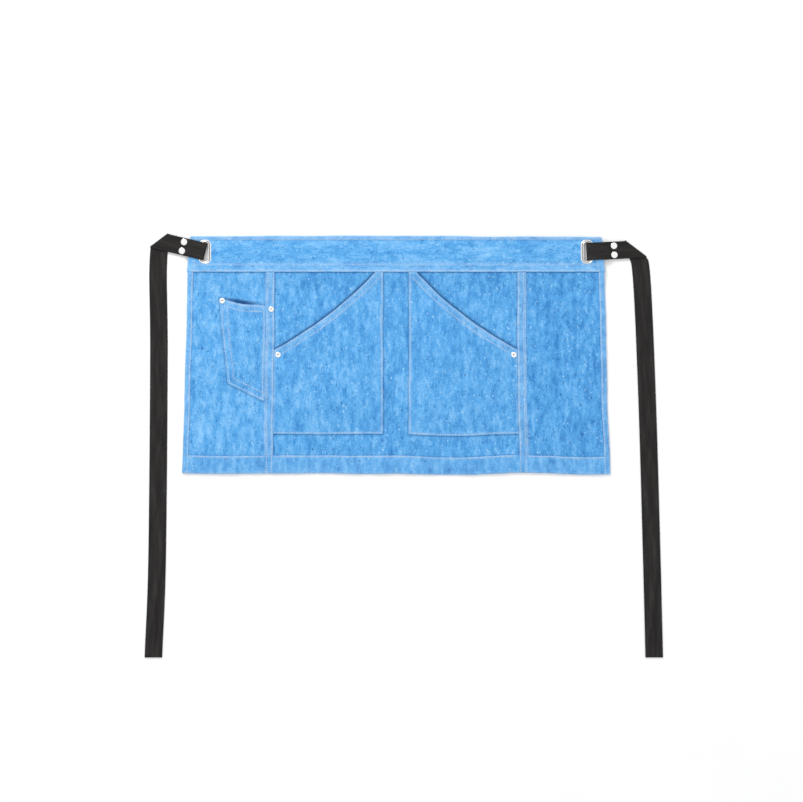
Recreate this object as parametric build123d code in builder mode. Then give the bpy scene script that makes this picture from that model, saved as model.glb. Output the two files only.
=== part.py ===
"""A half apron of washed denim, laid flat with its front up, with two flat webbing ties.

X runs across the apron to its right, Y runs up it to the waistband and Z is up off the table.
The origin is on the table plane, under the middle of the apron's body. All lengths are in mm.
"""
import os
from math import atan2, cos, degrees, hypot, radians, sin

from build123d import *

os.makedirs("parts", exist_ok=True)

# Cloth and webbing
denim = 1.0                     # thickness of one layer of cloth
webbing = 1.2                   # thickness of the strap
strap_width = 25.0
thread = 0.3                    # how far a row of stitching stands up
thread_width = 0.7

# Body of the apron
body_low = -144.0               # bottom edge of the hem
band_low = 144.0                # waistband's seam with the body
band_high = 195.0
half_width_low = 305.3          # half of the hem's length
half_width_top = 297.0          # half of the body's width at the waistband
half_band_top = 293.0           # half of the waistband's top edge
hem_depth = 25.0
side_hem = 8.0
band_rows = (145.9, 155.1, 190.7)   # heights of the three rows along the waistband
band_end_row = 9.0              # from the waistband's end to the row that closes it
seam_rows = (1.4, 8.8)          # from the felled seam's edge to its two rows
mouth_rows = (2.0, 9.5)         # from a hand pocket's mouth to its two rows
edge_row = 2.0                  # from a hand pocket's sewn edge to its row
phone_rows = (2.0, 9.5)         # from the phone pocket's edge to its two rows, all round
hem_row = (-120.7, -120.0)      # the row that holds the bottom hem
seam_lap = 11.0                 # how far a side panel laps over the centre panel
seam_edge_top = 172.9           # the lap's inner edge, out from the centre line
seam_edge_low = 176.0
tongue = 12.0                   # what the waistband holds of the body's top edge

# Heights above the table
ramp_start = 110.0              # from here the body climbs into the waistband
washer_low = 1.5                # underside of the eyelets' washers
facing_low = 2.1
lift = facing_low + denim       # height of the body's tongue inside the waistband
band_top = lift + 2 * denim
lead_low = 2.2                  # underside of the strap where it is one layer
front_leg_low = 6.2             # underside of the strap where it crosses the band's end

# Pockets
cavity = 4.6                    # room behind the cloth of a pocket
wall = 1.5                      # sewn edge of a pocket
pocket_low = -88.0
pocket_side = 18.0              # inner edge of a hand pocket, out from the centre line
mouth_top = 29.5                # where a hand pocket's mouth meets the waistband
mouth_middle = (97.0, 82.5)
mouth_low = 32.0
mouth_inward = (0.61, 0.79)     # way from a hand pocket's mouth into it, across and down
phone_mouth = [(-252.5, 108.2), (-186.3, 96.5)]
phone_bottom = [(-187.9, -40.5), (-192.0, -39.5), (-240.0, -14.3), (-249.0, 68.0)]
phone_opening = [(-247.0, 60.0), (-247.0, 120.0), (-188.3, 120.0), (-188.3, 60.0)]

# Rivets at the pockets' corners
pocket_rivets = [(-168.2, 26.0), (168.2, 26.0), (-247.8, 103.0), (-177.9, 91.0)]
pad_size = 11.0                 # a pocket's corner is pressed flat this far round its rivet
rivet_cap_radius = 4.2
rivet_cap_height = 1.3
nail_head_radius = 3.8
nail_head_height = 0.5
nail_radius = 1.2
nail_reach = 0.8                # how far a nail goes into its cap
fit_gap = 0.05

# Eyelets, tall and narrow
eyelet_x = 272.3
eyelet_y = 172.8
eyelet_inner = (9.6, 27.0, 4.0)         # width, height and corner radius of the opening
eyelet_flange = (18.0, 34.0, 7.5)
eyelet_barrel = (11.2, 28.6, 4.8)
eyelet_cut = (11.6, 29.0, 5.0)
flange_height = 0.8

# Rivets through the straps
strap_rivet_spacing = 13.0
strap_rivet_radius = 4.75
strap_rivet_height = 1.3
strap_post_radius = 1.3
back_cap_height = 1.0

# How each tie lies: to the crease's middle, where it folds under itself, then down to its cut end
ties = {
    "left": {
        "side": -1,
        "rivet_u": 32.3,        # from the eyelet's centre to the rivets, along the strap
        "hinge_u": 38.5,        # from the eyelet's centre to where the strap bends
        "crease": (-337.3, 188.5),
        "route": [(-339.6, 140), (-338.4, 20), (-341.0, -266), (-346.3, -406)],
    },
    "right": {
        "side": 1,
        "rivet_u": 38.9,
        "hinge_u": 45.1,
        "crease": (341.6, 176.5),
        "route": [(350.5, 137), (358.5, -38), (365.0, -260), (368.6, -406)],
    },
}
joint_gap = 0.3                 # clearance between solids on the two sides of a bend

through = 20.0                  # a height taller than the whole apron, for cuts that go through it
beyond = 400.0                  # a distance past the apron's sides


def export(piece, name):
    """Label a finished piece and write it."""
    piece.part.label = name
    export_step(piece.part, f"parts/{name}.step")


def polygon(points, mode=Mode.ADD):
    """A shape with straight sides, added to the sketch it is called in."""
    Polygon(*points, align=None, mode=mode)


def between(low_line, high_line):
    """Keep only what is between two lines drawn in the YZ plane, of the part it is called in."""
    with BuildSketch(Plane.YZ.offset(-beyond)) as section:
        polygon(low_line + high_line[::-1])
    extrude(section.sketch, amount=2 * beyond, mode=Mode.INTERSECT)


def edge_x(y, top, low):
    """Distance from the centre line, at height y, of a seam or edge that leans."""
    return round(top + (low - top) * (band_low - y) / (band_low - body_low), 1)


def strip(y_low, y_high, inner, outer, side):
    """Outline of a leaning strip; inner and outer are (top, low) distances from the centre."""
    return [
        (side * edge_x(y_low, *inner), y_low),
        (side * edge_x(y_high, *inner), y_high),
        (side * edge_x(y_high, *outer), y_high),
        (side * edge_x(y_low, *outer), y_low),
    ]


def inset(line, distance):
    """A leaning (top, low) line moved towards the centre."""
    return (line[0] - distance, line[1] - distance)


side_line = (half_width_top, half_width_low)
seam_line = (seam_edge_top, seam_edge_low)
lap_line = inset(seam_line, -seam_lap)
fold_line = inset(lap_line, -1.8)
pocket_line = inset(seam_line, 0.2)
body_high = band_low + tongue
under_band = band_low - 0.2
hem_top = body_low + hem_depth


def climb(y):
    """How far the cloth has climbed off the table at this height of the apron."""
    return lift * min(max((y - ramp_start) / (band_low - ramp_start), 0), 1)


def cloth(y_low, y_high, left_line, right_line, lower, upper):
    """A strip of cloth between two leaning lines that climbs with the body into the waistband."""
    corners = [y for y in (ramp_start, band_low) if y_low < y < y_high]
    heights = [y_low] + corners + [y_high]
    with BuildPart() as layer:
        for low, high in zip(heights, heights[1:]):
            if climb(low) == climb(high):
                with BuildSketch(Plane.XY.offset(lower + climb(low))):
                    polygon(strip(low, high, left_line, right_line, 1))
                extrude(amount=upper - lower)
            else:
                for y in (low, high):
                    left, right = edge_x(y, *left_line), edge_x(y, *right_line)
                    with BuildSketch(Plane.XZ.offset(-y)):
                        with Locations(((left + right) / 2, (lower + upper) / 2 + climb(y))):
                            Rectangle(abs(right - left), upper - lower)
                loft(ruled=True)
    return layer.part


def on_side(line, side):
    """A leaning line on the apron's left (-1) or right (1)."""
    return (side * line[0], side * line[1])


def slot_at(x, y, size):
    """A rounded upright opening in the sketch it is called in."""
    with Locations((x, y)):
        RectangleRounded(*size)


def cut_rivet_seats(points):
    """Take the nails' holes and the seats of their heads out of the part it is called in."""
    with BuildSketch() as holes:
        with Locations(*points):
            Circle(nail_radius + fit_gap)
    extrude(holes.sketch, amount=through, mode=Mode.SUBTRACT)
    with BuildSketch() as seats:
        with Locations(*points):
            Circle(nail_head_radius + fit_gap)
    extrude(seats.sketch, amount=nail_head_height, mode=Mode.SUBTRACT)


# ---------------------------------------------------------------- body panels

with BuildPart() as centre_panel:
    add(cloth(body_low, body_high, on_side(lap_line, -1), lap_line, 0, denim))
    cut_rivet_seats(pocket_rivets[:2] + pocket_rivets[3:])
export(centre_panel, "centre_panel")

with BuildPart() as left_side_panel:
    add(cloth(body_low, body_high, on_side(side_line, -1), on_side(lap_line, -1), 0, denim))
    cut_rivet_seats(pocket_rivets[2:])
export(left_side_panel, "left_side_panel")

with BuildPart() as right_side_panel:
    add(cloth(body_low, body_high, lap_line, side_line, 0, denim))
export(right_side_panel, "right_side_panel")

# The turned-in edges of the panels are the second layer of cloth that doubles their thickness
with BuildPart() as bottom_hem:
    add(cloth(body_low, hem_top, on_side(side_line, -1), side_line, denim, 2 * denim))
export(bottom_hem, "bottom_hem")

for side, name in ((-1, "left"), (1, "right")):
    with BuildPart() as side_turn:
        outer, inner = on_side(side_line, side), on_side(inset(side_line, side_hem), side)
        add(cloth(hem_top, under_band, inner, outer, denim, 2 * denim))
    export(side_turn, f"{name}_side_hem")

    with BuildPart() as felled_seam:
        outer, inner = on_side(fold_line, side), on_side(seam_line, side)
        add(cloth(hem_top, under_band, inner, outer, denim, 2 * denim))
        cut_rivet_seats(pocket_rivets[3:])
    export(felled_seam, f"{name}_felled_seam")


# ---------------------------------------------------------------- waistband

def band_layer(low, y_low, margin):
    """One layer of the waistband, with an opening for each eyelet."""
    with BuildPart() as layer:
        with BuildSketch(Plane.XY.offset(low)):
            corners = [
                (half_width_top + 1 - margin, y_low),
                (half_band_top - margin, band_high - margin),
            ]
            polygon(corners + [(-x, y) for x, y in corners[::-1]])
            for side in (-1, 1):
                with Locations((side * eyelet_x, eyelet_y)):
                    RectangleRounded(*eyelet_cut, mode=Mode.SUBTRACT)
        extrude(amount=denim)
    return layer


waistband_facing = band_layer(facing_low, band_low, 0)
export(waistband_facing, "waistband_facing")

waistband_interlining = band_layer(lift, body_high + 0.5, 1.5)
export(waistband_interlining, "waistband_interlining")

waistband_front = band_layer(lift + denim, band_low, 0)
export(waistband_front, "waistband_front")


# ---------------------------------------------------------------- pockets

def hand_pocket(side):
    """A large patch pocket: open along its slanted mouth, sewn at its side and bottom and in the seam."""
    roof = 2 * denim + cavity
    low_line = [(pocket_low, denim), (ramp_start, denim), (band_low, denim + lift)]
    high_line = [(pocket_low, roof), (ramp_start, roof), (band_low, 2 * denim + lift)]
    rivet = (side * pocket_rivets[1][0], pocket_rivets[1][1])
    inside = strip(pocket_low + wall, band_low, (pocket_side + wall,) * 2, inset(seam_line, wall), side)
    with BuildPart() as room:
        with BuildSketch():
            polygon(inside)
            with Locations(rivet):
                Rectangle(pad_size, pad_size, mode=Mode.SUBTRACT)
        extrude(amount=through)
        between(low_line, [(pocket_low, roof - denim), (ramp_start, roof - denim)])
    seam_x = side * edge_x(mouth_low, *pocket_line)
    with BuildPart() as pocket:
        with BuildSketch():
            with BuildLine():
                ThreePointArc(
                    (side * mouth_top, band_low),
                    (side * mouth_middle[0], mouth_middle[1]),
                    (seam_x, mouth_low),
                )
                Polyline(
                    (seam_x, mouth_low),
                    (side * edge_x(pocket_low, *pocket_line), pocket_low),
                    (side * pocket_side, pocket_low),
                    (side * pocket_side, band_low),
                    (side * mouth_top, band_low),
                )
            make_face()
        extrude(amount=through)
        between(low_line, high_line)
        add(room.part, mode=Mode.SUBTRACT)
        with BuildSketch(Plane.XY.offset(2 * denim)):
            with Locations(rivet):
                Rectangle(pad_size, pad_size)
        extrude(amount=through, mode=Mode.SUBTRACT)
        cut_rivet_seats([rivet])
    return pocket


left_hand_pocket = hand_pocket(-1)
export(left_hand_pocket, "left_hand_pocket")

right_hand_pocket = hand_pocket(1)
export(right_hand_pocket, "right_hand_pocket")

phone_outline = phone_mouth + phone_bottom
with BuildPart() as phone_pocket:
    with BuildSketch(Plane.XY.offset(denim)):
        polygon(phone_outline)
    extrude(amount=denim + cavity)
    with BuildSketch(Plane.XY.offset(denim)):
        polygon(phone_outline)
        offset(amount=-wall, mode=Mode.REPLACE)
        polygon(phone_opening)
        with Locations(pocket_rivets[2]):
            Rectangle(pad_size, pad_size, mode=Mode.SUBTRACT)
    extrude(amount=cavity, mode=Mode.SUBTRACT)
    with BuildSketch(Plane.XY.offset(2 * denim)):
        with Locations(pocket_rivets[2]):
            Rectangle(pad_size, pad_size)
    extrude(amount=through, mode=Mode.SUBTRACT)
    cut_rivet_seats(pocket_rivets[2:3])
export(phone_pocket, "phone_pocket")

with BuildPart() as pocket_rivet_caps:
    with Locations(*[(x, y, 2 * denim) for x, y in pocket_rivets]):
        Cylinder(rivet_cap_radius, rivet_cap_height, align=(Align.CENTER, Align.CENTER, Align.MIN))
    rims = pocket_rivet_caps.faces().filter_by(Axis.Z).group_by(Axis.Z)[-1].edges()
    fillet(rims, radius=0.9)
    with Locations(*[(x, y, 2 * denim) for x, y in pocket_rivets]):
        Cylinder(
            nail_radius + fit_gap,
            nail_reach + fit_gap,
            align=(Align.CENTER, Align.CENTER, Align.MIN),
            mode=Mode.SUBTRACT,
        )
export(pocket_rivet_caps, "pocket_rivet_caps")

with BuildPart() as pocket_rivet_nails:
    with Locations(*[(x, y, 0) for x, y in pocket_rivets]):
        Cylinder(nail_head_radius, nail_head_height, align=(Align.CENTER, Align.CENTER, Align.MIN))
        Cylinder(nail_radius, 2 * denim + nail_reach, align=(Align.CENTER, Align.CENTER, Align.MIN))
export(pocket_rivet_nails, "pocket_rivet_nails")


# ---------------------------------------------------------------- stitching

def row_beside(line, distance):
    """A row of stitching beside a leaning line, as two (top, low) lines."""
    return inset(line, distance + thread_width), inset(line, distance)


with BuildPart() as waistband_stitching:
    with BuildSketch(Plane.XY.offset(band_top)):
        for y in band_rows:
            with Locations((0, y)):
                Rectangle(2 * (half_band_top - 1.5), thread_width)
        end_line = (half_band_top - band_end_row, half_width_top - band_end_row)
        for side in (-1, 1):
            polygon([
                (side * end_line[1], band_low),
                (side * end_line[0], band_high),
                (side * (end_line[0] + thread_width), band_high),
                (side * (end_line[1] + thread_width), band_low),
            ])
    extrude(amount=thread)
export(waistband_stitching, "waistband_stitching")

surface = (2 * denim, 2 * denim + thread)
with BuildPart() as hem_stitching:
    for side in (-1, 1):
        centre_run = on_side(inset(seam_line, 0.5), side)
        side_run = (on_side(inset(fold_line, -0.5), side), on_side(inset(side_line, side_hem), side))
        add(cloth(*hem_row, (0, 0), centre_run, *surface))
        add(cloth(*hem_row, *side_run, *surface))
export(hem_stitching, "hem_stitching")

with BuildPart() as side_hem_stitching:
    for side in (-1, 1):
        inner, outer = row_beside(side_line, side_hem - 1.5)
        add(cloth(body_low, under_band, on_side(inner, side), on_side(outer, side), *surface))
export(side_hem_stitching, "side_hem_stitching")

with BuildPart() as seam_stitching:
    for side in (-1, 1):
        for distance in seam_rows:
            inner, outer = row_beside(seam_line, -distance)
            add(cloth(body_low, under_band, on_side(inner, side), on_side(outer, side), *surface))
    with BuildSketch():
        with Locations(pocket_rivets[3]):
            Circle(rivet_cap_radius + 0.2)
    extrude(amount=through, mode=Mode.SUBTRACT)
export(seam_stitching, "seam_stitching")


def inward(points, distance, side):
    """Points beside a hand pocket's mouth, moved into the pocket."""
    return [
        (x - side * mouth_inward[0] * distance, y - mouth_inward[1] * distance) for x, y in points
    ]


def hand_pocket_rows(side):
    """The rows of stitching down a hand pocket's side, along its bottom and beside its mouth."""
    roof = 2 * denim + cavity
    low_line = [(pocket_low, roof), (ramp_start, roof), (band_low, 2 * denim + lift)]
    high_line = [(y, z + thread) for y, z in low_line]
    mouth = [
        (side * mouth_top, band_low),
        (side * mouth_middle[0], mouth_middle[1]),
        (side * edge_x(mouth_low, *seam_line), mouth_low),
    ]
    rivet = (side * pocket_rivets[1][0], pocket_rivets[1][1])
    corner_x, corner_y = side * (pocket_side + edge_row), pocket_low + edge_row
    far_x = side * edge_x(pocket_low, *seam_line)
    with BuildPart() as rows:
        with BuildSketch():
            polygon([
                (corner_x, band_low),
                (corner_x, corner_y),
                (far_x, corner_y),
                (far_x, corner_y + thread_width),
                (corner_x + side * thread_width, corner_y + thread_width),
                (corner_x + side * thread_width, band_low),
            ])
            for depth in mouth_rows:
                outer = inward(mouth, depth, side)
                inner = inward(mouth, depth + thread_width, side)
                with BuildLine():
                    ThreePointArc(*outer)
                    ThreePointArc(*inner)
                    Line(outer[0], inner[0])
                    Line(outer[-1], inner[-1])
                make_face()
            with Locations(rivet):
                Rectangle(pad_size + 1, pad_size + 14, mode=Mode.SUBTRACT)
        extrude(amount=through)
        between(low_line, high_line)
    return rows.part


with BuildPart() as hand_pocket_stitching:
    add(hand_pocket_rows(-1))
    add(hand_pocket_rows(1))
export(hand_pocket_stitching, "hand_pocket_stitching")

with BuildPart() as phone_pocket_stitching:
    for distance in phone_rows:
        with BuildSketch(Plane.XY.offset(2 * denim + cavity)):
            polygon(phone_outline)
            offset(amount=-distance, mode=Mode.REPLACE)
            offset(amount=-thread_width, mode=Mode.SUBTRACT)
            with Locations(pocket_rivets[2]):
                Rectangle(pad_size, pad_size, mode=Mode.SUBTRACT)
        extrude(amount=thread)
export(phone_pocket_stitching, "phone_pocket_stitching")


# ---------------------------------------------------------------- eyelets

def eyelet(side):
    """The front half of an eyelet: a flange with a barrel down through the waistband."""
    with BuildPart() as ring:
        with BuildSketch(Plane.XY.offset(band_top)):
            slot_at(side * eyelet_x, eyelet_y, eyelet_flange)
        extrude(amount=flange_height)
        rim = ring.faces().filter_by(Axis.Z).sort_by(Axis.Z)[-1].edges()
        fillet(rim, radius=0.6)
        with BuildSketch(Plane.XY.offset(washer_low)):
            slot_at(side * eyelet_x, eyelet_y, eyelet_barrel)
        extrude(amount=band_top - washer_low)
        with BuildSketch(Plane.XY):
            slot_at(side * eyelet_x, eyelet_y, eyelet_inner)
        extrude(amount=through, mode=Mode.SUBTRACT)
    return ring


def eyelet_washer(side):
    """The flat back half of an eyelet, round the barrel behind the waistband."""
    with BuildPart() as washer:
        with BuildSketch(Plane.XY.offset(washer_low)):
            slot_at(side * eyelet_x, eyelet_y, eyelet_flange)
            with Locations((side * eyelet_x, eyelet_y)):
                RectangleRounded(*eyelet_cut, mode=Mode.SUBTRACT)
        extrude(amount=facing_low - washer_low)
    return washer


# ---------------------------------------------------------------- straps

def lay_of(tie):
    """Work out how a tie lies: its direction, its across direction and its crease."""
    start = (tie["side"] * eyelet_x, eyelet_y)
    run = (tie["crease"][0] - start[0], tie["crease"][1] - start[1])
    lead_angle = degrees(atan2(run[1], run[0])) % 360
    first = tie["route"][0]
    tail_angle = degrees(atan2(first[1] - tie["crease"][1], first[0] - tie["crease"][0])) % 360
    if tail_angle - lead_angle > 180:
        tail_angle -= 360
    crease_angle = (lead_angle + tail_angle) / 2
    along = (cos(radians(lead_angle)), sin(radians(lead_angle)))
    crease_along = (cos(radians(crease_angle)), sin(radians(crease_angle)))
    half_crease = strap_width / 2 / abs(sin(radians(crease_angle - lead_angle)))
    return start, along, crease_along, half_crease


def loop_plane(tie):
    """The upright plane along the strap's middle, from the eyelet's centre outwards."""
    start, along, _, _ = lay_of(tie)
    across = (along[1], -along[0], 0)
    return Plane(origin=(*start, 0), x_dir=(*along, 0), z_dir=across)


def rivet_places(tie):
    """The two places on the strap, one above the other, where its legs are riveted together."""
    start, along, _, _ = lay_of(tie)
    places = []
    for v in (-strap_rivet_spacing / 2, strap_rivet_spacing / 2):
        x = start[0] + along[0] * tie["rivet_u"] - along[1] * v
        y = start[1] + along[1] * tie["rivet_u"] + along[0] * v
        places.append((x, y))
    return places


def strap_loop(tie):
    """The strap through the eyelet and round the band's end, its two legs meeting at the rivets."""
    half = webbing / 2
    legs_meet = tie["rivet_u"] - strap_rivet_radius - 0.6
    bend = legs_meet - 2.9
    end = tie["hinge_u"] - joint_gap
    back_end = tie["rivet_u"] + 6.0
    top = front_leg_low + webbing
    with BuildPart() as loop:
        with BuildSketch(loop_plane(tie)):
            polygon([
                (-half, 0),
                (-half, top),
                (bend, top),
                (legs_meet + 0.4, lead_low + webbing),
                (end, lead_low + webbing),
                (end, lead_low),
                (back_end, lead_low),
                (back_end, back_cap_height),
                (legs_meet, back_cap_height),
                (bend, 0),
            ])
            inside = [
                (half, webbing),
                (half, front_leg_low),
                (bend - 0.4, front_leg_low),
                (legs_meet, lead_low),
                (bend - 0.4, webbing),
            ]
            polygon(inside, mode=Mode.SUBTRACT)
        extrude(amount=strap_width / 2, both=True)
        with BuildSketch():
            with Locations(*rivet_places(tie)):
                Circle(strap_post_radius + fit_gap)
        extrude(amount=through, mode=Mode.SUBTRACT)
    return loop


def strap_rivet_caps(tie):
    """The front caps of the two rivets through the strap."""
    with BuildPart() as caps:
        with BuildSketch(Plane.XY.offset(lead_low + webbing)):
            with Locations(*rivet_places(tie)):
                Circle(strap_rivet_radius)
        extrude(amount=strap_rivet_height)
        rims = caps.faces().filter_by(Axis.Z).group_by(Axis.Z)[-1].edges()
        fillet(rims, radius=0.9)
        with BuildSketch(Plane.XY.offset(lead_low + webbing)):
            with Locations(*rivet_places(tie)):
                Circle(strap_post_radius + fit_gap)
        extrude(amount=nail_reach + fit_gap, mode=Mode.SUBTRACT)
    return caps


def strap_rivet_posts(tie):
    """The rivets' posts, each with its wide back cap."""
    with BuildPart() as posts:
        with BuildSketch():
            with Locations(*rivet_places(tie)):
                Circle(strap_rivet_radius)
        extrude(amount=back_cap_height)
        with BuildSketch():
            with Locations(*rivet_places(tie)):
                Circle(strap_post_radius)
        extrude(amount=lead_low + webbing + nail_reach)
    return posts


def strap_lead(tie):
    """The single layer of strap from where it bends to the crease."""
    start, along, crease_along, half_crease = lay_of(tie)
    crease = tie["crease"]
    corners = []
    for v in (-strap_width / 2, strap_width / 2):
        u = tie["hinge_u"] + joint_gap
        corners.append((start[0] + along[0] * u - along[1] * v, start[1] + along[1] * u + along[0] * v))
    ends = crease_ends(crease, along, crease_along, half_crease)
    with BuildPart() as lead:
        with BuildSketch(Plane.XY.offset(lead_low)):
            polygon(corners + ends[::-1])
        extrude(amount=webbing)
    return lead


def crease_ends(crease, along, crease_along, half_crease):
    """The crease's two ends, a little way back from it towards the lead, in the order of the edges."""
    back = joint_gap / abs(along[0] * crease_along[1] - along[1] * crease_along[0])
    ends = []
    for v in (-1, 1):
        across = -along[1] * crease_along[0] + along[0] * crease_along[1]
        reach = v * half_crease * (1 if across > 0 else -1)
        ends.append((
            crease[0] + crease_along[0] * reach - along[0] * back,
            crease[1] + crease_along[1] * reach - along[1] * back,
        ))
    return ends


def strap_tail(tie):
    """The strap past the crease, folded under the lead and lying down to its square-cut end."""
    _, along, crease_along, half_crease = lay_of(tie)
    route = [tie["crease"]] + tie["route"]
    near, far = [], []
    for i, (x, y) in enumerate(route):
        if i == 0:
            continue
        before = route[i - 1]
        after = route[min(i + 1, len(route) - 1)]
        length = hypot(after[0] - before[0], after[1] - before[1])
        across = ((before[1] - after[1]) / length, (after[0] - before[0]) / length)
        if i == len(route) - 1:
            across = (1, 0)
        near.append((x - across[0] * strap_width / 2, y - across[1] * strap_width / 2))
        far.append((x + across[0] * strap_width / 2, y + across[1] * strap_width / 2))
    ends = crease_ends(tie["crease"], along, crease_along, half_crease)
    ends.sort(key=lambda point: point[0])
    near, far = (near, far) if near[0][0] < far[0][0] else (far, near)
    with BuildPart() as tail:
        with BuildSketch():
            polygon([ends[0]] + near + far[::-1] + [ends[1]])
        extrude(amount=webbing)
    return tail


for name, tie in ties.items():
    export(eyelet(tie["side"]), f"{name}_eyelet")
    export(eyelet_washer(tie["side"]), f"{name}_eyelet_washer")
    export(strap_loop(tie), f"{name}_strap_loop")
    export(strap_rivet_caps(tie), f"{name}_strap_rivet_caps")
    export(strap_rivet_posts(tie), f"{name}_strap_rivet_posts")
    export(strap_lead(tie), f"{name}_strap_lead")
    export(strap_tail(tie), f"{name}_strap_tail")
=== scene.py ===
"""A half apron of washed denim with two flat webbing ties, laid out flat. All lengths are in metres."""
from dataclasses import dataclass
from math import ceil, cos, hypot, pi, sin

import bpy
import numpy as np
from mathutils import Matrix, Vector, noise


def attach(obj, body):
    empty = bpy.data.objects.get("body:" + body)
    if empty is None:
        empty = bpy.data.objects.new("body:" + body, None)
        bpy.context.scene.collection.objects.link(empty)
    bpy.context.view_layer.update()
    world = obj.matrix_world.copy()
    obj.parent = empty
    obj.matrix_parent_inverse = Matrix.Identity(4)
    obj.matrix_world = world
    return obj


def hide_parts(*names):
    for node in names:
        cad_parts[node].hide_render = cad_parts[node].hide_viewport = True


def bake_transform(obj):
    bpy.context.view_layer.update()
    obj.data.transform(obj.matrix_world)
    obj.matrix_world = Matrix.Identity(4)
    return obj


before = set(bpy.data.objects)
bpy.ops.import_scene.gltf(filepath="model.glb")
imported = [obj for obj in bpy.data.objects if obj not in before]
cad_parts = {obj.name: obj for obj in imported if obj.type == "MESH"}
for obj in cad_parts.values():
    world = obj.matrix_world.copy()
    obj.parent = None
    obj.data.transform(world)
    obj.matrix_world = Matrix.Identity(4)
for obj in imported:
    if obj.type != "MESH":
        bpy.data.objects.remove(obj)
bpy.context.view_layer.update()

# Cloth and webbing
denim = 0.0010
webbing = 0.0012
strap_width = 0.025

# Body of the apron; a leaning line is its distance from the middle at the waistband and at the hem
body_low = -0.144
band_low = 0.144
band_high = 0.195
body_high = 0.156
hem_top = -0.119
under_band = 0.1438
side_line = (0.2970, 0.3053)
seam_line = (0.1729, 0.1760)
fold_line = (0.1857, 0.1888)
lap_line = (0.1839, 0.1870)
pocket_line = (0.1727, 0.1758)
side_hem = 0.008
half_band_low = 0.298
half_band_top = 0.293
turned = 0.0009                  # what a folded edge takes up outside the layers in it
edge_round = 0.0009              # radius of the roundness at a sheet's edges
end_share = 0.0014               # share of a wide sheet's width that is folded round each end

# Heights
ramp_start = 0.110
facing_low = 0.0021
lift = facing_low + denim
band_top = lift + 2 * denim
lead_middle = 0.0028             # middle of the strap where it is one layer
tail_middle = 0.0006             # middle of the strap where it lies on the table
front_leg_middle = 0.0068
riveted_leg_middle = 0.0016      # middle of the strap's back layer at the rivets
strap_cap_low = 0.0034
strap_turn = 0.0026              # how round the strap bends at the eyelet and the rivets
fold_axis = 0.0017

# Pockets
pocket_low = -0.088
pocket_side = 0.018
mouth_top = 0.0295
mouth_middle = (0.0970, 0.0825)
mouth_low = 0.0320
mouth_inward = (0.61, 0.79)
phone_top = [(-0.2525, 0.1082), (-0.1863, 0.0965)]
phone_low = [(-0.1879, -0.0405), (-0.1920, -0.0395), (-0.2400, -0.0143), (-0.2490, 0.0680)]
hand_belly = 0.0026              # how far a pocket's cloth stands off the body
phone_belly = 0.0022
phone_kinks = (0.143, 0.935)     # places along the phone pocket's width where its bottom edge turns
phone_gape = 0.0026              # how far the phone pocket's mouth sags below the line of its rivets

# Metal
pocket_rivets = [(-0.1682, 0.0260), (0.1682, 0.0260), (-0.2478, 0.1030), (-0.1779, 0.0910)]
eyelet = (0.2723, 0.1728)
eyelet_flange = (0.0180, 0.0340, 0.0075)    # width, height and corner radius
eyelet_inner = (0.0096, 0.0270, 0.0040)
eyelet_barrel = (0.0112, 0.0286, 0.0048)
eyelet_cut = (0.0116, 0.0290, 0.0050)
washer_low = 0.0015
strap_rivet_spacing = 0.013
strap_rivet_radius = 0.00475
rivet_clear = 0.0058             # no stitches this close to a pocket rivet

# Stitching
stitch = 0.0027
stitch_gap = 0.0008
thread_radius = 0.00038
band_rows = (0.1459, 0.1551, 0.1907)
band_end_row = 0.0090
hem_row = -0.12035
hem_stops = (0.1722, 0.1890, 0.2968)        # where the hem's rows stop beside the seams and sides
pocket_row_end = 0.1744
side_row = 0.0069
seam_rows = (0.00175, 0.00915)
mouth_rows = (0.0023, 0.0098)
edge_row = 0.0023
groove_depth = 0.00018
groove_width = 0.0012
pucker_height = 0.00042
pucker_length = 0.0052
pucker_reach = 0.0055

sides = ((-1, "left"), (1, "right"))        # left and right as seen from the front
ties = {
    "left": {
        "rivet_u": 0.0323,
        "hinge_u": 0.0385,
        "crease": (-0.3373, 0.1885),
        "route": [(-0.3396, 0.140), (-0.3384, 0.020), (-0.3410, -0.266), (-0.3463, -0.406)],
    },
    "right": {
        "rivet_u": 0.0389,
        "hinge_u": 0.0451,
        "crease": (0.3416, 0.1765),
        "route": [(0.3505, 0.137), (0.3585, -0.038), (0.3650, -0.260), (0.3686, -0.406)],
    },
}


# ---------------- camera

def put_in_scene(name, data):
    made = bpy.data.objects.new(name, data)
    bpy.context.scene.collection.objects.link(made)
    return made


view_middle = (0.0079, -0.0400)
view_width = 1.1464
lens = 100.0
sensor = 36.0
camera = put_in_scene("camera", bpy.data.cameras.new("camera"))
camera.data.lens = lens
camera.data.sensor_width = sensor
camera.location = (*view_middle, view_width * lens / sensor)
bpy.context.scene.camera = camera


# ---------------- materials

def srgb(red, green, blue, alpha=1.0):
    """A screen colour of 0 to 255 as the shader's linear numbers."""
    parts = [part / 255 for part in (red, green, blue)]
    return [p / 12.92 if p <= 0.04045 else ((p + 0.055) / 1.055) ** 2.4 for p in parts] + [alpha]


def node(tree, kind, inputs=None, **settings):
    """Add a node; an input is a number, a colour or another node's output."""
    made = tree.nodes.new(kind)
    for name, value in settings.items():
        setattr(made, name, value)
    for name, value in (inputs or {}).items():
        if isinstance(value, bpy.types.NodeSocket):
            tree.links.new(value, made.inputs[name])
        else:
            made.inputs[name].default_value = value
    return made


black, white = (0, 0, 0, 1), (1, 1, 1, 1)


def new_material(name, **constants):
    """A material with its main shader's constant inputs set."""
    material = bpy.data.materials.new(name)
    material.use_nodes = True
    shader = material.node_tree.nodes["Principled BSDF"]
    for key, value in constants.items():
        shader.inputs[key.replace("_", " ")].default_value = value
    return material, material.node_tree, shader


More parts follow.
